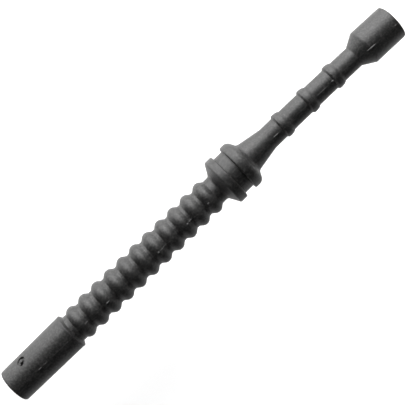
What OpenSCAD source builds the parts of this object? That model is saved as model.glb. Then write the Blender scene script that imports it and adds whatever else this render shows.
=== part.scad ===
// Moulded rubber fuel hose for a small hand-held engine, with a built-in tank grommet.
// The hose runs along X and X = 0 is the middle of the groove that the tank wall sits in. The bellows
// and the pickup cuff hang in the tank on the -X side; the neck and its socket lead to the carburettor
// on the +X side. The hose is one moulding, cut here at its flex lines: each fold of the bellows and
// each flex band of the neck is a node of its own, between the stiffer rings and beads that it joins.

/* [Pickup cuff] */
// Outer diameter at the open end
cuff_tip_d = 9.4; // [9:0.05:9.7]
// Outer diameter beside the bellows
cuff_root_d = 9.75; // [9.7:0.05:10]
// Length from the open end to the first fold
cuff_len = 20.5; // [14:0.5:30]
// Bore that grips the stem of the fuel pickup
cuff_bore_d = 5.2; // [4.8:0.1:6]
// Depth of that bore
cuff_bore_depth = 18; // [8:0.5:18]
// Length of the rounded shoulder beside the bellows
cuff_shoulder = 1.1; // [0.6:0.1:2]
// Diameter of the ring-shaped mould mark
mark_d = 2.5; // [1.5:0.1:3]
// Diameter of the island in the middle of the mark
mark_island_d = 1.1; // [0.5:0.1:1.3]
// Depth of the mark
mark_depth = 0.35; // [0.1:0.05:0.5]
// Distance of the mark from the open end
mark_from_tip = 5.9; // [3:0.1:10]
// Turn of the mark from the top of the hose, towards +Y
mark_turn = 45; // [0:5:90]

/* [Bellows] */
// Number of crests
crests = 11; // [4:1:14]
// Distance from one crest to the next
crest_pitch = 4.42; // [4.2:0.02:5]
// Crest diameter beside the cuff
crest_first_d = 9.44; // [9:0.02:9.7]
// Crest diameter beside the grommet
crest_last_d = 9.24; // [9:0.02:9.7]
// Valley diameter beside the cuff
valley_first_d = 7.6; // [7.2:0.05:7.8]
// Valley diameter beside the grommet
valley_last_d = 7.25; // [7:0.05:7.6]
// Width of the thin web in each valley
web_w = 1.2; // [1.1:0.05:1.4]
// Bore through the valleys
bellows_bore_d = 4.4; // [4:0.1:4.6]
// How much wider the bore is inside a crest
crest_pocket = 0.6; // [0.2:0.1:0.8]

/* [Tank grommet] */
// Width of the groove, for the tank wall
groove_w = 2.8; // [2:0.1:4]
// Diameter at the bottom of the groove, for the hole in the tank wall
groove_d = 11.5; // [10.5:0.1:12]
// Diameter of both flanges
flange_d = 13.35; // [12.8:0.05:14]
// Length of the inner flange, from the groove to the bellows' last fold
inner_len = 4.9; // [4.7:0.1:6]
// Straight rim of that flange
inner_rim_w = 2; // [1:0.1:2.2]
// Rounding of its outer edge
inner_rim_round = 0.6; // [0.3:0.1:0.8]
// Fillet at its foot
inner_fillet = 0.9; // [0.5:0.1:0.9]
// Length of the outer flange, from the groove to the taper
outer_len = 4.3; // [4.1:0.1:6]
// Straight rim of that flange
outer_rim_w = 1.25; // [0.8:0.05:1.3]
// Rounding of its outer edge
outer_rim_round = 1.9; // [1:0.1:2]
// Fillet at its foot
outer_fillet = 0.6; // [0.3:0.1:0.7]
// Steepness of both flanges' sloping faces
flange_slope = 65; // [64:1:70]
// Diameter where the outer flange meets the taper
taper_root_d = 8.2; // [7.6:0.1:8.6]

/* [Beaded neck] */
// Diameter of the neck beside the taper
neck_first_d = 6; // [5.8:0.05:6.2]
// Diameter of the neck beside the socket
neck_last_d = 5.8; // [5.6:0.05:6]
// Distance from the groove's middle to the first bead's peak
bead_start = 17.05; // [15.6:0.05:20]
// Number of beads
beads = 3; // [1:1:5]
// Distance from one bead to the next
bead_pitch = 8.76; // [7:0.02:10]
// How far a bead stands out
bead_h = 0.5; // [0.3:0.05:0.7]
// Length of a bead's steep side, which faces the tank
bead_lead = 1.4; // [1:0.1:1.8]
// Length of a bead's gentle side
bead_trail = 1.8; // [1.2:0.1:2]
// Width of the flex band between two beads
band_w = 1.4; // [1.2:0.1:1.6]
// Bore through the neck
neck_bore_d = 3; // [2.6:0.1:3.2]

/* [Carburettor socket] */
// Outer diameter
socket_d = 9.7; // [9.3:0.05:10.2]
// Length of the straight socket
socket_len = 9.15; // [8.7:0.05:14]
// Length of the flare that leads to it
flare_len = 3.8; // [3:0.1:6]
// Straight neck between the last flex band and the flare
throat_len = 1.8; // [1:0.05:3]
// Bore that grips the carburettor's nipple
socket_bore_d = 5; // [4.6:0.1:5.6]
// Depth of that bore
socket_bore_depth = 8.5; // [6:0.1:8.5]

/* [Edges] */
// Rounding of the outer edges at both open ends
end_round = 0.5; // [0.2:0.1:0.8]

/* [Hidden] */
rubber = [0.11, 0.11, 0.115];
joint_rubber = [0.15, 0.15, 0.155]; // the flex lines, a little paler so that they can be told apart
round_fn = 96;
arc_steps = 8;

folds = crests + 1;
crest_w = crest_pitch - web_w;
inner_end_x = -groove_w / 2 - inner_len;
crest_last_x = inner_end_x - (crest_pitch + web_w) / 2;
crest_first_x = crest_last_x - (crests - 1) * crest_pitch;
cuff_end_x = crest_first_x - (crest_pitch + web_w) / 2;
cuff_tip_x = cuff_end_x - cuff_len;

bands = beads + 1;
band_start = bead_start - bead_pitch / 2;
taper_start_x = groove_w / 2 + outer_len;
taper_end_x = band_start - band_w / 2;
throat_start_x = band_start + beads * bead_pitch + band_w / 2;
flare_start_x = throat_start_x + throat_len;
socket_start_x = flare_start_x + flare_len;
socket_end_x = socket_start_x + socket_len;

function mix(a, b, t) = a + (b - a) * t;
function fold_x(i) = crest_first_x + (i - 1.5) * crest_pitch;
function crest_x(i) = crest_first_x + (i - 1) * crest_pitch;
function valley_r(i) = mix(valley_first_d, valley_last_d, (i - 1) / (folds - 1)) / 2;
function crest_r(i) = mix(crest_first_d, crest_last_d, (i - 1) / (crests - 1)) / 2;
function band_x(i) = band_start + (i - 1) * bead_pitch;
function bead_x(i) = bead_start + (i - 1) * bead_pitch;
function neck_r(x) = mix(neck_first_d, neck_last_d,
    (x - taper_end_x) / (flare_start_x - taper_end_x)) / 2;

// Points [radius, x] on an arc about [r, x], where angle 0 points away from the hose's axis
function arc(r, x, radius, from, to) =
    [for (i = [0 : arc_steps]) let (a = mix(from, to, i / arc_steps)) [r + radius * cos(a), x + radius * sin(a)]];

// A smooth step from radius r0 at x0 to r1 at x1
function ease(r0, r1, x0, x1) =
    [for (i = [0 : arc_steps]) let (t = i / arc_steps) [mix(r0, r1, (1 - cos(180 * t)) / 2), mix(x0, x1, t)]];

// The arc of a dome that bulges by h over a chord of width w, centred at x and resting on radius r
function dome(r, x, w, h) =
    let (radius = w * w / (8 * h) + h / 2, half = asin(w / 2 / radius))
    arc(r + h - radius, x, radius, -half, half);

// Outline of a flange, as [radius, distance from the groove]: rim, rounded edge, sloping face, fillet
function flange(rim_w, rim_round, fillet, root_r) =
    let (rise = (flange_d / 2 - root_r) - (rim_round + fillet) * (1 - cos(flange_slope)),
         foot = rim_w + (rim_round + fillet) * sin(flange_slope) + rise / tan(flange_slope))
    concat([[flange_d / 2, 0]],
        arc(flange_d / 2 - rim_round, rim_w, rim_round, 0, flange_slope),
        arc(root_r + fillet, foot, fillet, flange_slope - 180, -180));

// A solid of revolution about the hose's axis, from an outline of [radius, x] points
module turned(outline, shade = rubber)
    color(shade) rotate([0, 90, 0]) rotate_extrude($fn = round_fn) polygon(outline);

// A plain ring of rubber from x0 to x1
module ring(outer_d, bore_d, x0, x1, shade = rubber)
    turned([[bore_d / 2, x0], [outer_d / 2, x0], [outer_d / 2, x1], [bore_d / 2, x1]], shade);

module mould_mark() {
    floor_r = cuff_tip_d / 2 - mark_depth;
    translate([cuff_tip_x + mark_from_tip, 0, 0]) rotate([-mark_turn, 0, 0]) translate([0, 0, floor_r])
        difference() {
            cylinder(h = 2 * mark_depth, d = mark_d, $fn = round_fn);
            cylinder(h = 2 * mark_depth, d = mark_island_d, $fn = round_fn);
        }
}

module pickup_cuff() {
    stop_x = cuff_tip_x + cuff_bore_depth;
    tip_r = cuff_tip_d / 2;
    root_r = cuff_root_d / 2;
    color(rubber) difference() {
        turned(concat(
            [[cuff_bore_d / 2, cuff_tip_x]],
            arc(tip_r - end_round, cuff_tip_x + end_round, end_round, -90, 0),
            ease(root_r, valley_r(1), cuff_end_x - cuff_shoulder, cuff_end_x),
            [[bellows_bore_d / 2, cuff_end_x], [bellows_bore_d / 2, stop_x], [cuff_bore_d / 2, stop_x]]));
        mould_mark();
    }
}

module bellows_fold(i)
    ring(2 * valley_r(i), bellows_bore_d, fold_x(i) - web_w / 2, fold_x(i) + web_w / 2, joint_rubber);

module bellows_crest(i) {
    x0 = crest_x(i) - crest_w / 2;
    x1 = crest_x(i) + crest_w / 2;
    root_r = (valley_r(i) + valley_r(i + 1)) / 2;
    pocket = dome(bellows_bore_d / 2, crest_x(i), crest_w * 0.6, crest_pocket);
    turned(concat(
        [[bellows_bore_d / 2, x0]],
        dome(root_r, crest_x(i), crest_w, crest_r(i) - root_r),
        [[bellows_bore_d / 2, x1]],
        [for (k = [arc_steps : -1 : 0]) pocket[k]]));
}

module inner_flange() {
    outline = flange(inner_rim_w, inner_rim_round, inner_fillet, valley_last_d / 2);
    turned(concat(
        [[bellows_bore_d / 2, -groove_w / 2]],
        [for (p = outline) [p[0], -groove_w / 2 - p[1]]],
        [[valley_last_d / 2, inner_end_x], [bellows_bore_d / 2, inner_end_x]]));
}

module groove_collar()
    ring(groove_d, bellows_bore_d, -groove_w / 2, groove_w / 2);

module outer_flange() {
    outline = flange(outer_rim_w, outer_rim_round, outer_fillet, taper_root_d / 2);
    turned(concat(
        [[bellows_bore_d / 2, groove_w / 2]],
        [for (p = outline) [p[0], groove_w / 2 + p[1]]],
        [[taper_root_d / 2, taper_start_x], [bellows_bore_d / 2, taper_start_x]]));
}

module taper()
    turned([[bellows_bore_d / 2, taper_start_x], [taper_root_d / 2, taper_start_x],
        [neck_r(taper_end_x), taper_end_x], [neck_bore_d / 2, taper_end_x]]);

module neck_band(i)
    ring(2 * neck_r(band_x(i)), neck_bore_d, band_x(i) - band_w / 2, band_x(i) + band_w / 2, joint_rubber);

module neck_bead(i) {
    x0 = band_x(i) + band_w / 2;
    x1 = band_x(i + 1) - band_w / 2;
    peak_x = bead_x(i);
    peak_r = neck_r(peak_x) + bead_h;
    turned(concat(
        [[neck_bore_d / 2, x0], [neck_r(x0), x0]],
        ease(neck_r(peak_x - bead_lead), peak_r, peak_x - bead_lead, peak_x),
        ease(peak_r, neck_r(peak_x + bead_trail), peak_x, peak_x + bead_trail),
        [[neck_r(x1), x1], [neck_bore_d / 2, x1]]));
}

module socket_flare()
    turned(concat(
        [[neck_bore_d / 2, throat_start_x], [neck_r(throat_start_x), throat_start_x]],
        ease(neck_r(flare_start_x), socket_d / 2, flare_start_x, socket_start_x),
        [[neck_bore_d / 2, socket_start_x]]));

module carburettor_socket() {
    stop_x = socket_end_x - socket_bore_depth;
    turned(concat(
        [[neck_bore_d / 2, socket_start_x], [socket_d / 2, socket_start_x]],
        arc(socket_d / 2 - end_round, socket_end_x - end_round, end_round, 0, 90),
        [[socket_bore_d / 2, socket_end_x], [socket_bore_d / 2, stop_x], [neck_bore_d / 2, stop_x]]));
}

pickup_cuff();
for (i = [1 : folds]) bellows_fold(i);
for (i = [1 : crests]) bellows_crest(i);
inner_flange();
groove_collar();
outer_flange();
taper();
for (i = [1 : bands]) neck_band(i);
for (i = [1 : beads]) neck_bead(i);
socket_flare();
carburettor_socket();
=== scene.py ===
"""Moulded rubber fuel hose, seen from straight above on a pale table.

The hose is one moulding, so its skin is made here as closed tubes that meet end to end: a rigid one for
the cuff, the tank grommet and the socket, and two for each fold of the bellows and each flex band of the
neck, from the stiff ring or bead on one side to the middle of the fold. Lengths are in millimetres until
a mesh is made. An outline is a list of (x, radius) points, from the cuff towards the socket.
"""

import math

import bpy
import numpy as np
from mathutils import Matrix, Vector


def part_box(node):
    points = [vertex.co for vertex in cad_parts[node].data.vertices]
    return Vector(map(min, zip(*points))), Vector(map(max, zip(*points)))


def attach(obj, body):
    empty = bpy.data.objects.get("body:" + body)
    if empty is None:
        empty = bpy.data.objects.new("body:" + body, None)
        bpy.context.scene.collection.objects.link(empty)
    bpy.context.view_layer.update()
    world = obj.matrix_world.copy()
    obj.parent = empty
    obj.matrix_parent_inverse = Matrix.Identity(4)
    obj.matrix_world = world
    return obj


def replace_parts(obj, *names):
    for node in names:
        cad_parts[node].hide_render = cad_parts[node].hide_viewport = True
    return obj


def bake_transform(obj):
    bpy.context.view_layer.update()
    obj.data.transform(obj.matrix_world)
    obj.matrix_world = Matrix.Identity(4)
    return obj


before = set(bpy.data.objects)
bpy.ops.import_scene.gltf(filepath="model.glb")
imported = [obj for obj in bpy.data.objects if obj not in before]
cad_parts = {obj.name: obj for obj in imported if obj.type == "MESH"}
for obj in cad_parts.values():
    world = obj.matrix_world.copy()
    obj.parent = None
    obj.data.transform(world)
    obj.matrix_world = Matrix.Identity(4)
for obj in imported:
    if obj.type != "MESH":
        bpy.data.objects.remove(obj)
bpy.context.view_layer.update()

MM = 0.001

# ---------------------------------------------------------------- places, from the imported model


def lengthwise(node):
    """Where a node starts and ends along the hose."""
    lo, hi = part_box(node)
    return lo.x / MM, hi.x / MM


def middle(node):
    return sum(lengthwise(node)) / 2


def radius(node):
    """Outer radius of a node at its widest."""
    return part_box(node)[1].y / MM


def numbered(stem):
    """The nodes called stem_1, stem_2 and so on, in order."""
    count = sum(name.startswith(stem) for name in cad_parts)
    return [f"{stem}_{number}" for number in range(1, count + 1)]


FOLDS, CRESTS = numbered("bellows_fold"), numbered("bellows_crest")
BANDS, BEADS = numbered("neck_band"), numbered("neck_bead")

TIP_X, CUFF_END_X = lengthwise("pickup_cuff")
GROOVE_LEFT_X = lengthwise("inner_flange")[1]
GROOVE_RIGHT_X, TAPER_START_X = lengthwise("outer_flange")
TAPER_END_X = lengthwise("taper")[1]
FLARE_START_X, FLARE_END_X = lengthwise("socket_flare")
RIM_PAST = 0.3  # how far the socket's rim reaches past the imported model's
SOCKET_END_X = lengthwise("carburettor_socket")[1] + RIM_PAST
FOLD_X = [middle(n) for n in FOLDS]
FOLD_R = [radius(n) for n in FOLDS]
FIRST_FOLD_FILL = 0.1  # the web by the cuff is this much shallower than the others
FOLD_R[0] += FIRST_FOLD_FILL
CREST_X = [middle(n) for n in CRESTS]
CREST_R = [radius(n) for n in CRESTS]
BAND_X = [middle(n) for n in BANDS]
BAND_R = [radius(n) for n in BANDS]
FLANGE_R = radius("inner_flange")
GROOVE_R = radius("groove_collar")
SOCKET_R = radius("carburettor_socket")

# ---------------------------------------------------------------- outlines

ARC_STEP = math.radians(7)


def rounded(corners):
    """A smooth outline through corners given as (x, radius, rounding)."""
    points = [corners[0][:2]]
    for before, corner, after in zip(corners, corners[1:], corners[2:]):
        here = np.array(corner[:2])
        arrive = here - before[:2]
        leave = np.array(after[:2]) - here
        arrive, leave = arrive / np.linalg.norm(arrive), leave / np.linalg.norm(leave)
        turn = math.atan2(arrive[0] * leave[1] - arrive[1] * leave[0], float(arrive @ leave))
        if corner[2] <= 0 or abs(turn) < 1e-4:
            points.append(tuple(here))
            continue
        start = here - arrive * corner[2] * math.tan(abs(turn) / 2)
        side = np.array([-arrive[1], arrive[0]]) * math.copysign(1, turn)
        centre = start + side * corner[2]
        steps = 2 * math.ceil(abs(turn) / ARC_STEP / 2)
        for step in range(steps + 1):
            angle = turn * step / steps
            spoke = start - centre
            points.append((centre[0] + spoke[0] * math.cos(angle) - spoke[1] * math.sin(angle),
                           centre[1] + spoke[0] * math.sin(angle) + spoke[1] * math.cos(angle)))
    points.append(corners[-1][:2])
    return points


CREST_SLOPE = math.radians(38)
CREST_ROUND = 1.75
VALLEY_ROUND = 0.4
FIRST_CREST_REACH = 0.84  # the first crest falls to the cuff in this share of the usual length


def crest_corners(index):
    """A crest from the fold on its cuff side to the fold on its grommet side, as corners."""
    left_x, right_x = FOLD_X[index], FOLD_X[index + 1]
    left_r, right_r = FOLD_R[index], FOLD_R[index + 1]
    cap = CREST_ROUND * (1 / math.cos(CREST_SLOPE) - 1)
    apex_r = CREST_R[index] + cap
    reach_left = (apex_r - left_r) / math.tan(CREST_SLOPE) * (FIRST_CREST_REACH if index == 0 else 1.0)
    reach_right = (apex_r - right_r) / math.tan(CREST_SLOPE)
    apex_x = CREST_X[index]
    return [(left_x, left_r, 0),
            (apex_x - reach_left, left_r, VALLEY_ROUND),
            (apex_x, apex_r, CREST_ROUND),
            (apex_x + reach_right, right_r, VALLEY_ROUND),
            (right_x, right_r, 0)]


RIM_WIDTH = 0.9  # the flat ring round each mouth that belongs to the outer outline
CUFF_TIP_R = 4.7
CUFF_SHOULDER_X = CUFF_END_X - 0.42
SHOULDER_LIP = 0.06  # how far the mould left the cuff's shoulder proud


def cuff_outline():
    """From the cuff's mouth to its lipped shoulder, and down to the first fold."""
    root_r = radius("pickup_cuff")
    return rounded([
        (TIP_X, CUFF_TIP_R - RIM_WIDTH, 0),
        (TIP_X, CUFF_TIP_R - 0.02, 0.5),
        (CUFF_SHOULDER_X - 0.6, root_r, 0.3),
        (CUFF_SHOULDER_X - 0.15, root_r + SHOULDER_LIP, 0.15),
        (CUFF_SHOULDER_X, root_r - 0.04, 0.12),
        (CUFF_END_X + 0.1, FOLD_R[0] + 0.01, 0.12),
        (FOLD_X[0], FOLD_R[0], 0)])


INNER_FACE_SLOPE = math.radians(60.6)
OUTER_FACE_SLOPE = math.radians(64.5)
INNER_TOP_X = GROOVE_LEFT_X - 2.3
OUTER_TOP_X = GROOVE_RIGHT_X + 2.45
TAPER_START_R = 4.1
GROOVE_CORNER = 0.04


def grommet_outline():
    """From the last fold to the first flex band, with both flanges and the square groove."""
    last_r = FOLD_R[-1]
    rise = (FLANGE_R - last_r) / math.tan(INNER_FACE_SLOPE)
    fall = (FLANGE_R - TAPER_START_R) / math.tan(OUTER_FACE_SLOPE)
    return rounded([
        (FOLD_X[-1], last_r, 0),
        (INNER_TOP_X - rise, last_r, 0.9),
        (INNER_TOP_X, FLANGE_R, 0.6),
        (GROOVE_LEFT_X, FLANGE_R, 0.44),
        (GROOVE_LEFT_X, GROOVE_R, GROOVE_CORNER),
        (GROOVE_RIGHT_X, GROOVE_R, GROOVE_CORNER),
        (GROOVE_RIGHT_X, FLANGE_R, 0.42),
        (OUTER_TOP_X, FLANGE_R, 1.9),
        (OUTER_TOP_X + fall, TAPER_START_R + 0.12, 1.15),
        (TAPER_END_X, BAND_R[0], 3.0),
        (BAND_X[0], BAND_R[0], 0)])


BEAD_RISE = 0.5


def bead_corners(index):
    """A bead from the flex band on its tank side to the next one: a steep face, then a long gentle one."""
    peak_x = middle(BEADS[index])
    peak_r = radius(BEADS[index])
    foot_r = peak_r - BEAD_RISE
    return [(BAND_X[index], BAND_R[index], 0),
            (peak_x - 1.12, foot_r + 0.01, 0.06),
            (peak_x - 0.66, peak_r - 0.04, 0.25),
            (peak_x, peak_r, 0.6),
            (peak_x + 0.85, peak_r - 0.11, 0.6),
            (peak_x + 1.62, foot_r, 0.7),
            (BAND_X[index + 1], BAND_R[index + 1], 0)]


THROAT_LENGTH = 2.03


def socket_outline():
    """From the last flex band through the throat and the flare to the socket's mouth."""
    return rounded([
        (BAND_X[-1], BAND_R[-1], 0),
        (FLARE_START_X + THROAT_LENGTH, BAND_R[-1] - 0.02, 0.35),
        (FLARE_END_X - 0.12, SOCKET_R + 0.02, 0.8),
        (SOCKET_END_X, SOCKET_R - 0.04, 0.45),
        (SOCKET_END_X, SOCKET_R - RIM_WIDTH, 0)])


def whole_outline():
    outline = cuff_outline()
    for index in range(len(CRESTS)):
        outline += rounded(crest_corners(index))[1:]
    outline += grommet_outline()[1:]
    for index in range(len(BEADS)):
        outline += rounded(bead_corners(index))[1:]
    return outline + socket_outline()[1:]


PICKUP_BORE_R = 2.6
BELLOWS_BORE_R = 2.2
NECK_BORE_R = 1.5
SOCKET_BORE_R = 2.5
PICKUP_STOP_X = TIP_X + 18
SOCKET_STOP_X = SOCKET_END_X - 8.5
MOUTH_FLAT = 0.5  # the flat ring round each mouth that belongs to the bore
MOUTH_ROUND = 0.25
POCKET_HALF = 0.97  # half the length of the pocket inside a crest
POCKET_FLOOR = 0.45  # share of that half that its flat floor takes
POCKET_DEPTH = 0.6


def bore_outline():
    """The fuel's way through the hose, from the cuff's mouth to the socket's."""
    corners = [(TIP_X, PICKUP_BORE_R + MOUTH_FLAT, 0),
               (TIP_X, PICKUP_BORE_R, MOUTH_ROUND),
               (PICKUP_STOP_X, PICKUP_BORE_R, 0),
               (PICKUP_STOP_X, BELLOWS_BORE_R, 0.1)]
    pocket_r = BELLOWS_BORE_R + POCKET_DEPTH
    for x in CREST_X:
        corners += [(x - POCKET_HALF, BELLOWS_BORE_R, 0.3),
                    (x - POCKET_HALF * POCKET_FLOOR, pocket_r, 0.5),
                    (x, pocket_r, 0),
                    (x + POCKET_HALF * POCKET_FLOOR, pocket_r, 0.5),
                    (x + POCKET_HALF, BELLOWS_BORE_R, 0.3)]
    corners += [(TAPER_START_X, BELLOWS_BORE_R, 1),
                (TAPER_END_X, NECK_BORE_R, 1),
                (SOCKET_STOP_X, NECK_BORE_R, 0.1),
                (SOCKET_STOP_X, SOCKET_BORE_R, 0),
                (SOCKET_END_X, SOCKET_BORE_R, MOUTH_ROUND),
                (SOCKET_END_X, SOCKET_BORE_R + MOUTH_FLAT, 0)]
    return rounded(corners)


OUTER = whole_outline()
BORE = bore_outline()
SEAM_LINE = 0.03  # an extra mesh line this near each seam keeps the shading even across it
SEAM_CLEAR = SEAM_LINE * 1.5
LONGEST_STEP = 0.5
SHORTEST_STEP = 0.01


def stretch(outline, start, end, extra=()):
    """The part of an outline between two places along the hose, with no step longer than LONGEST_STEP."""
    xs = np.array([p[0] for p in outline])
    rs = np.array([p[1] for p in outline])

    def at(x):
        return (x, float(np.interp(x, xs, rs)))

    inside = [p for p in outline if start + SEAM_CLEAR < p[0] < end - SEAM_CLEAR]
    open_start, open_end = start <= xs[0] + 1e-6, end >= xs[-1] - 1e-6
    if open_start:
        inside = [p for p in outline if p[0] < end - SEAM_CLEAR]
    if open_end:
        inside = [p for p in inside if p[0] < start] + [p for p in outline if p[0] > start + SEAM_CLEAR]
    head = [] if open_start else [at(start), at(start + SEAM_LINE)]
    tail = [] if open_end else [at(end - SEAM_LINE), at(end)]
    points = head + inside + tail
    wanted = sorted({round(x, 2) for x in extra if start + SEAM_LINE < x < end - SEAM_LINE})
    full = []
    for a, b in zip(points, points[1:]):
        full.append(a)
        cuts = [x for x in wanted if a[0] + SHORTEST_STEP < x < b[0] - SHORTEST_STEP]
        stops = [a[0], *cuts, b[0]]
        for left, right in zip(stops, stops[1:]):
            if left > a[0]:
                full.append((left, a[1] + (b[1] - a[1]) * (left - a[0]) / (b[0] - a[0])))
            pieces = math.ceil(math.hypot(right - left, b[1] - a[1]) / LONGEST_STEP)
            for step in range(1, pieces):
                x = left + (right - left) * step / pieces
                share = (x - a[0]) / (b[0] - a[0]) if b[0] > a[0] else step / pieces
                full.append((x, a[1] + (b[1] - a[1]) * share))
    full.append(points[-1])
    return full


# ---------------------------------------------------------------- marks that the mould left

PARTING = math.radians(15.5)  # turn of the parting line from the top, towards -Y

# The ring on the cuff, with an island in the middle of its moat and a deeper pit beside the island
MARK_TURN = math.radians(-45)
MARK_X = TIP_X + 6.4
MARK_R = 1.15
MARK_DEPTH = 0.5
ISLAND_R = 0.5
PIT_X = MARK_X - 0.42
PIT_TURN = math.radians(-35)
PIT_R = 0.45
PIT_DEPTH = 1.3

# Flash on the upper parting line: start, end, height, width
FLASH = [
    (-68.4, -67.4, 0.10, 0.14), (-66.3, -65.7, 0.08, 0.14), (-63.7, -58.9, 0.02, 0.10),
    (-58.7, -58.3, 0.08, 0.16), (-52.3, -51.5, 0.07, 0.14), (-45.1, -44.2, 0.20, 0.20),
    (-27.3, -26.8, 0.20, 0.26), (-26.5, -22.8, 0.05, 0.10), (-17.3, -16.9, 0.16, 0.24),
    (-16.5, -15.6, 0.10, 0.14), (-10.2, -9.7, 0.20, 0.28), (13.1, 14.4, 0.12, 0.20),
    (27.9, 30.9, 0.04, 0.12), (32.9, 33.5, 0.16, 0.24), (44.3, 46.7, 0.16, 0.20),
    (53.3, 53.7, 0.12, 0.20)]
FLASH_RUN_OUT = 0.1  # a tab of flash rises and fades over twice this length

# Where the mesh has extra lines across the hose, so that flash and the mark come out crisp
LINE_GAP = 0.12
FLASH_LINES = [x for start, end, _, _ in FLASH
               for x in (start - LINE_GAP, start, start + LINE_GAP, (start + end) / 2,
                         end - LINE_GAP, end, end + LINE_GAP)]
MARK_REACH = 1.6
MARK_LINE_STEP = 0.075
MARK_LINES = list(np.arange(MARK_X - MARK_REACH, MARK_X + MARK_REACH, MARK_LINE_STEP))


def smooth(value, low, high):
    """0 below low, 1 above high, and a smooth step between."""
    share = np.clip((value - low) / (high - low), 0, 1)
    return share * share * (3 - 2 * share)


def off_line(angle, centre):
    """How far an angle is from a line along the hose, in radians, signed."""
    return (angle - centre + math.pi) % (2 * math.pi) - math.pi


COARSE_TURN = math.radians(3)
PARTING_TURN = math.radians(0.45)
PARTING_LINES = 6  # fine lines on each side of a parting line
MARK_LINE_TURN = math.radians(0.9)
MARK_HALF_TURN = math.radians(20)


def angle_lines(mark):
    """Angles of the mesh lines round the hose, closer together at the parting lines and the mould mark."""
    lines = list(np.arange(0, 2 * math.pi, COARSE_TURN))
    for centre in (PARTING, PARTING + math.pi):
        lines = [a for a in lines if abs(off_line(a, centre)) > PARTING_TURN * (PARTING_LINES + 1)]
        lines += [centre + PARTING_TURN * step for step in range(-PARTING_LINES, PARTING_LINES + 1)]
    if mark:
        centre = MARK_TURN % (2 * math.pi)
        lines = [a for a in lines if abs(off_line(a, centre)) > MARK_HALF_TURN]
        lines += list(np.arange(centre - MARK_HALF_TURN, centre + MARK_HALF_TURN, MARK_LINE_TURN))
    return np.array(sorted(a % (2 * math.pi) for a in lines))


BOW_TOP_X = 10.0
NECK_BOW = 3.0e-4  # the neck and socket curve away from the top of the bow by this times length squared
BELLOWS_LEAN = 0.0042  # the bellows lean away from it at this slope
LEAN_LENGTH = 67.0  # and the cuff, beyond this length, lies straight
SWELL = 0.05  # rubber stands this much prouder than the drawn outline


def bow(x):
    """How far the hose lies off a straight line, towards +Y, as moulded rubber does."""
    past = x - BOW_TOP_X
    return -NECK_BOW * past ** 2 if past > 0 else -BELLOWS_LEAN * min(-past, LEAN_LENGTH)


def wander(x, seed):
    """A slow wobble between -1 and 1 along the hose."""
    waves = ((0.37, 1.0), (0.83, 2.1), (1.71, 3.7))
    return sum(math.sin(x * rate + seed * shift) for rate, shift in waves) / len(waves)


RIDGE_HEIGHT = 0.008  # of the parting lines, on average
RIDGE_WANDER = 0.022
LINE_SHADE = 0.35  # how much of flash's finish the parting lines have


def relief(x, r, angles):
    """How far the skin stands out at one place along the hose, for each angle, and how much is flash."""
    height = np.zeros(len(angles))
    flash = np.zeros(len(angles))
    for line, (centre, seed) in enumerate(((PARTING, 0.4), (PARTING + math.pi, 5.2))):
        away = np.abs(off_line(angles, centre)) * r
        ridge = max(0.0, RIDGE_HEIGHT + RIDGE_WANDER * wander(x, seed))
        shape = 1 - smooth(away, 0.02, 0.11)
        height += ridge * shape
        flash = np.maximum(flash, shape * LINE_SHADE)
        if line == 0:
            for start, end, tall, wide in FLASH:
                along = (smooth(x, start - FLASH_RUN_OUT, start + FLASH_RUN_OUT)
                         * (1 - smooth(x, end - FLASH_RUN_OUT, end + FLASH_RUN_OUT)))
                if along > 0:
                    tab = along * (1 - smooth(away, wide * 0.3, wide * 0.85))
                    height = np.maximum(height, tall * tab)
                    flash = np.maximum(flash, tab)
    mark_away = np.hypot(x - MARK_X, off_line(angles, MARK_TURN) * r)
    moat = (smooth(mark_away, ISLAND_R - 0.06, ISLAND_R + 0.1)
            * (1 - smooth(mark_away, MARK_R - 0.1, MARK_R + 0.06)))
    pit_away = np.hypot(x - PIT_X, off_line(angles, PIT_TURN) * r)
    pit = 1 - smooth(pit_away, PIT_R - 0.1, PIT_R + 0.05)
    return height - np.maximum(MARK_DEPTH * moat, PIT_DEPTH * pit), flash


# ---------------------------------------------------------------- tubes


def normals_of(outline):
    """The outward direction at each point of an outline, as (along x, along radius)."""
    points = np.array(outline)
    steps = np.diff(points, axis=0)
    steps /= np.maximum(np.linalg.norm(steps, axis=1, keepdims=True), 1e-9)
    tangents = np.vstack([steps[:1], steps[:-1] + steps[1:], steps[-1:]])
    tangents /= np.maximum(np.linalg.norm(tangents, axis=1, keepdims=True), 1e-9)
    return np.column_stack([-tangents[:, 1], tangents[:, 0]])


def ring(x, shift, reach, angles):
    """Points round the bowed hose at x, each moved along it by shift and standing off it by reach."""
    return np.column_stack([x + shift, bow(x) - np.sin(angles) * reach, np.cos(angles) * reach])


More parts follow.
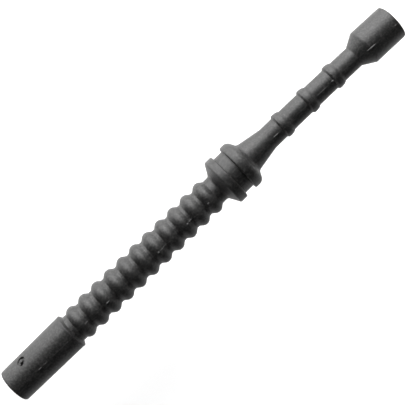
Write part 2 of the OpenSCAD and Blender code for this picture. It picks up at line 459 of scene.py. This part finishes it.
def tube(name, start, end):
    """A closed tube of rubber between two places along the hose, with its bore."""
    has_mark = start <= TIP_X
    outer = stretch(OUTER, start, end, FLASH_LINES + (MARK_LINES if has_mark else []))
    bore = stretch(BORE, start, end)
    angles = angle_lines(has_mark)
    around = len(angles)
    vertices, flashes = [], []
    for (x, r), (nx, nr) in zip(outer, normals_of(outer)):
        height, flash = relief(x, r, angles)
        vertices.append(ring(x, nx * height, r + SWELL + nr * height, angles))
        flashes.append(flash)
    for x, r in reversed(bore):
        vertices.append(ring(x, np.zeros(around), r, angles))
        flashes.append(np.zeros(around))
    rings = len(vertices)
    faces = [(ring * around + k, (ring + 1) % rings * around + k,
              (ring + 1) % rings * around + (k + 1) % around, ring * around + (k + 1) % around)
             for ring in range(rings) for k in range(around)]
    mesh = bpy.data.meshes.new(name)
    rest = np.vstack(vertices)
    mesh.from_pydata((rest * MM).tolist(), [], faces)
    mesh.polygons.foreach_set("use_smooth", [True] * len(faces))
    mesh.attributes.new("rest", "FLOAT_VECTOR", "POINT").data.foreach_set(
        "vector", rest.astype(np.float32).ravel())
    mesh.attributes.new("flash", "FLOAT", "POINT").data.foreach_set(
        "value", np.concatenate(flashes).astype(np.float32))
    mesh.validate()
    mesh.update()
    if start > TIP_X or end < SOCKET_END_X:
        mark_cut_edges(mesh, around, len(outer), rings, start > TIP_X, end < SOCKET_END_X)
    piece = bpy.data.objects.new(name, mesh)
    bpy.context.scene.collection.objects.link(piece)
    mesh.materials.append(RUBBER)
    return piece


def mark_cut_edges(mesh, around, outer_rings, rings, cut_start, cut_end):
    """Keeps the flat ends where two tubes meet from pulling the skin's shading round the corner."""
    cut_rings = set()
    if cut_start:
        cut_rings |= {0, rings - 1}
    if cut_end:
        cut_rings |= {outer_rings - 1, outer_rings}
    ends = [(edge.vertices[0] // around, edge.vertices[1] // around) for edge in mesh.edges]
    sharp = [first == second and first in cut_rings for first, second in ends]
    layer = mesh.attributes.get("sharp_edge") or mesh.attributes.new("sharp_edge", "BOOLEAN", "EDGE")
    layer.data.foreach_set("value", sharp)


# ---------------------------------------------------------------- rubber


class Shade:
    """An output of a material's node, which Python sums and products turn into Math nodes."""

    def __init__(self, tree, output=None):
        self.tree = tree
        self.output = output

    def node(self, kind, settings=None, sockets=None, output=0):
        """Adds a node: its settings first, then its sockets' values or links. Gives the output asked for."""
        made = self.tree.nodes.new(kind)
        for name, value in (settings or {}).items():
            if name == "stops":
                ramp = made.color_ramp
                while len(ramp.elements) < len(value):
                    ramp.elements.new(1)
                for element, (place, colour) in zip(ramp.elements, value):
                    element.position, element.color = place, colour
            else:
                setattr(made, name, value)
        for name, value in (sockets or {}).items():
            if isinstance(value, Shade):
                self.tree.links.new(value.output, made.inputs[name])
            else:
                made.inputs[name].default_value = value
        return Shade(self.tree, made.outputs[output]) if len(made.outputs) else made

    def math(self, operation, a, b):
        return self.node("ShaderNodeMath", {"operation": operation}, {0: a, 1: b})

    def __add__(self, other):
        return self.math("ADD", self, other)

    def __sub__(self, other):
        return self.math("SUBTRACT", self, other)

    def __rsub__(self, other):
        return self.math("SUBTRACT", other, self)

    def __mul__(self, other):
        return self.math("MULTIPLY", self, other)

    __radd__ = __add__
    __rmul__ = __mul__

    def between(self, low, high):
        """0 below low, 1 above high, and a smooth step between."""
        return self.node("ShaderNodeMapRange", {"interpolation_type": "SMOOTHSTEP"},
                         {"Value": self, "From Min": low, "From Max": high})

    def noise(self, place, scale, detail, roughness):
        return self.node("ShaderNodeTexNoise", {}, {"Vector": place, "Scale": scale, "Detail": detail,
                                                    "Roughness": roughness})

    def blended(self, factor, a, b):
        """Colour a, turning into colour b as factor rises."""
        return self.node("ShaderNodeMix", {"data_type": "RGBA"}, {0: factor, 6: a, 7: b}, 2)


def grey(level, warmth=0.0):
    return (level * (1 + warmth), level, level * (1 - warmth), 1.0)


def make_rubber():
    """Black moulded rubber: dull and mottled, with a patchy painted sheen in its colour, a dusting of mould
    powder and a fine grain.

    Noise scales are in features per millimetre, because the rest attribute is in millimetres.
    """
    material = bpy.data.materials.new("black_moulded_rubber")
    material.use_nodes = True
    tree = material.node_tree
    tree.nodes.clear()
    make = Shade(tree)
    place = make.node("ShaderNodeAttribute", {"attribute_name": "rest"}, output=1)
    flash = make.node("ShaderNodeAttribute", {"attribute_name": "flash"}, output=2)

    cloud = make.noise(place, 0.22, 4.0, 0.6).between(0.38, 0.66)
    patches = make.noise(place, 0.9, 4.0, 0.6)
    powder = make.noise(place, 5.5, 3.0, 0.7)
    grain = make.noise(place, 16.0, 2.0, 0.6)
    lumps_and_painted_sheen = make.noise(place, 1.9, 3.0, 0.65)
    specks = make.noise(place, 3.1, 1.0, 0.5).between(0.735, 0.78)
    dusty = (patches.between(0.42, 0.72) * 0.6 + cloud * 0.4) * powder.between(0.35, 0.75)

    body = make.blended(cloud, grey(0.0022), grey(0.0032, 0.02))
    # Painted sheen: lighter patches of colour where this noise is high, standing in for the rubber's patchy
    # sheen; the same noise also shapes real bumps below
    body = make.blended(lumps_and_painted_sheen.between(0.4, 0.7) * 0.45, body, grey(0.042, 0.02))
    body = make.blended(dusty * 0.5, body, grey(0.022, 0.03))
    body = make.blended(specks * 0.2, body, grey(0.08, 0.03))
    body = make.blended(flash * 0.5, body, grey(0.04, 0.01))
    rough = 0.46 + dusty * 0.12 + (grain - 0.5) * 0.12 - flash * 0.1

    relief_height = patches * 0.3 + lumps_and_painted_sheen * 0.5 + powder * 0.2 + grain * 0.08
    bump = make.node("ShaderNodeBump", {}, {"Strength": 0.32, "Distance": 0.00012, "Height": relief_height})
    shader = make.node("ShaderNodeBsdfPrincipled", {}, {
        "Base Color": body, "Roughness": rough, "Normal": bump, "IOR": 1.37})
    make.node("ShaderNodeOutputMaterial", {}, {"Surface": shader})
    return material


RUBBER = make_rubber()

# ---------------------------------------------------------------- the hose's pieces

# Where the rigid skins end and the bending ones start
CUFF_SEAM_X = FOLD_X[0] - 2.6
GROMMET_START_X = INNER_TOP_X - 0.7
GROMMET_END_X = TAPER_END_X - 3.57
SOCKET_SEAM_X = BAND_X[-1] + 2.5


def rigid_skin(name, body, start, end, *nodes):
    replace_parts(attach(tube(name, start, end), body), *nodes)


def bending_skin(name, stiff_body, stiff_x, web_body, web_x, *nodes):
    """A tube from a stiff ring to the middle of a thin web."""
    piece = tube(name, min(stiff_x, web_x), max(stiff_x, web_x))
    stiff_x * MM
    web_x * MM
    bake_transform(piece)
    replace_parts(piece, *nodes)


rigid_skin("cuff_skin", "cuff", TIP_X, CUFF_SEAM_X, "pickup_cuff")
for index, (fold, x) in enumerate(zip(FOLDS, FOLD_X)):
    number = index + 1
    on_cuff_side = ("cuff", CUFF_SEAM_X)
    if index > 0:
        on_cuff_side = (f"crest_{index}", CREST_X[index - 1])
    on_tank_side = ("grommet", GROMMET_START_X)
    if number < len(FOLDS):
        on_tank_side = (f"crest_{number}", CREST_X[index])
    bending_skin(f"fold_{number}_cuff_side", *on_cuff_side, f"fold_{number}", x, fold)
    bending_skin(f"fold_{number}_tank_side", *on_tank_side, f"fold_{number}", x, fold,
                 *([CRESTS[index]] if number <= len(CRESTS) else []))
rigid_skin("grommet_skin", "grommet", GROMMET_START_X, GROMMET_END_X,
           "inner_flange", "groove_collar", "outer_flange", "taper")
for index, (band, x) in enumerate(zip(BANDS, BAND_X)):
    number = index + 1
    on_tank_side = ("grommet", GROMMET_END_X)
    if index > 0:
        on_tank_side = (f"bead_{index}", middle(BEADS[index - 1]))
    on_socket_side = ("socket", SOCKET_SEAM_X)
    if number < len(BANDS):
        on_socket_side = (f"bead_{number}", middle(BEADS[index]))
    bending_skin(f"band_{number}_tank_side", *on_tank_side, f"band_{number}", x, band)
    bending_skin(f"band_{number}_socket_side", *on_socket_side, f"band_{number}", x, band,
                 *([BEADS[index]] if number <= len(BEADS) else []))
rigid_skin("socket_skin", "socket", SOCKET_SEAM_X, SOCKET_END_X, "socket_flare", "carburettor_socket")

# ---------------------------------------------------------------- table, light and camera

TABLE_Z = -32.0  # low enough that the hose can bend at every fold without dipping under it
TABLE_HALF = 3000.0
TABLE_PAINTED_GLOW = 2.4  # the table's brightest painted glow, and the greys below are shares of it


def make_table():
    """A white table with painted light: it glows though it is no lamp, more on the window's side and further
    out, so it looks evenly white, and least close to the hose on the side away from the window, a painted
    shadow that the hose's shaded side reflects.
    """
    mesh = bpy.data.meshes.new("table")
    half, z = TABLE_HALF * MM, TABLE_Z * MM
    corners = [(-half, -half, z), (half, -half, z), (half, half, z), (-half, half, z)]
    mesh.from_pydata(corners, [], [(0, 1, 2, 3)])
    table = bpy.data.objects.new("table", mesh)
    bpy.context.scene.collection.objects.link(table)
    material = bpy.data.materials.new("white_table")
    material.use_nodes = True
    material.node_tree.nodes.clear()
    make = Shade(material.node_tree)
    place = make.node("ShaderNodeTexCoord", output=3)
    towards_window = make.node("ShaderNodeSeparateXYZ", {}, {"Vector": place}, 1)
    far = make.node("ShaderNodeVectorMath", {"operation": "LENGTH"}, {0: place}, 1)
    window_side = towards_window.between(0.0, 0.05)
    # Painted light and shadow: a brighter glow on the window's side, and a dim glow close to the hose on the
    # side away from the window, as a painted shadow
    near_painted_glow_and_shadow = make.blended(window_side, grey(0.11), grey(0.7))
    far_painted_glow = make.blended(window_side, grey(0.41), grey(1.0))
    painted_glow = make.blended(far.between(0.1, 0.4), near_painted_glow_and_shadow, far_painted_glow)
    shader = make.node("ShaderNodeBsdfPrincipled", {}, {
        "Base Color": grey(0.6), "Roughness": 0.9, "Specular IOR Level": 0.0,
        "Emission Color": painted_glow, "Emission Strength": TABLE_PAINTED_GLOW})
    make.node("ShaderNodeOutputMaterial", {}, {"Surface": shader})
    mesh.materials.append(material)


# Colours by height, from the horizon at 0 to straight up at 1
ROOM_STOPS = [(0.0, grey(0.5)), (0.12, grey(0.35)), (0.2, grey(0.04)), (1.0, grey(0.012))]


def make_room():
    """A dim ceiling, a light band at the horizon, and a dark wall on the side away from the window."""
    world = bpy.data.worlds.new("room")
    world.use_nodes = True
    world.node_tree.nodes.clear()
    make = Shade(world.node_tree)
    direction = make.node("ShaderNodeTexCoord", output=0)
    height = make.node("ShaderNodeSeparateXYZ", {}, {"Vector": direction}, 2)
    across = make.node("ShaderNodeSeparateXYZ", {}, {"Vector": direction}, 1)
    colour = make.node("ShaderNodeValToRGB", {"stops": ROOM_STOPS}, {"Fac": height})
    colour = make.blended(across.between(-0.5, 0.0), grey(0.02), colour)
    background = make.node("ShaderNodeBackground", {}, {"Color": colour, "Strength": 1.0})
    make.node("ShaderNodeOutputWorld", {}, {"Surface": background})
    bpy.context.scene.world = world


def panel(name, azimuth, elevation, distance, width, height, watts):
    """A soft light panel that faces the hose. Azimuth 0 is +X and 90 is +Y; sizes are in metres."""
    light = bpy.data.lights.new(name, "AREA")
    light.shape = "RECTANGLE"
    light.size = width
    light.size_y = height
    light.energy = watts
    lamp = bpy.data.objects.new(name, light)
    a, e = math.radians(azimuth), math.radians(elevation)
    out = Vector((math.cos(a) * math.cos(e), math.sin(a) * math.cos(e), math.sin(e)))
    lamp.location = out * distance
    lamp.rotation_mode = "QUATERNION"
    lamp.rotation_quaternion = out.to_track_quat("Z", "Y")
    bpy.context.scene.collection.objects.link(lamp)


make_table()
make_room()
panel("window", azimuth=75, elevation=28, distance=0.42, width=0.88, height=0.52, watts=10.8)
panel("socket_side", azimuth=60, elevation=42, distance=0.4, width=0.24, height=0.36, watts=1.3)

CAMERA_TURN = math.radians(-44.14)
CAMERA_X, CAMERA_Y, CAMERA_Z = -10.72, -0.15, 262.5
CAMERA_LENS = 93.1
CAMERA_SENSOR = 36.0


def make_camera():
    """Straight above the hose, turned so that the hose runs across the picture's diagonal."""
    data = bpy.data.cameras.new("camera")
    data.lens = CAMERA_LENS
    data.sensor_width = CAMERA_SENSOR
    data.clip_start = 0.01
    data.clip_end = 50.0
    camera = bpy.data.objects.new("camera", data)
    camera.location = (CAMERA_X * MM, CAMERA_Y * MM, CAMERA_Z * MM)
    camera.rotation_euler = (0, 0, CAMERA_TURN)
    bpy.context.scene.collection.objects.link(camera)
    bpy.context.scene.camera = camera


make_camera()
bpy.context.scene.view_settings.view_transform = "Standard"
bpy.context.scene.view_settings.look = "None"
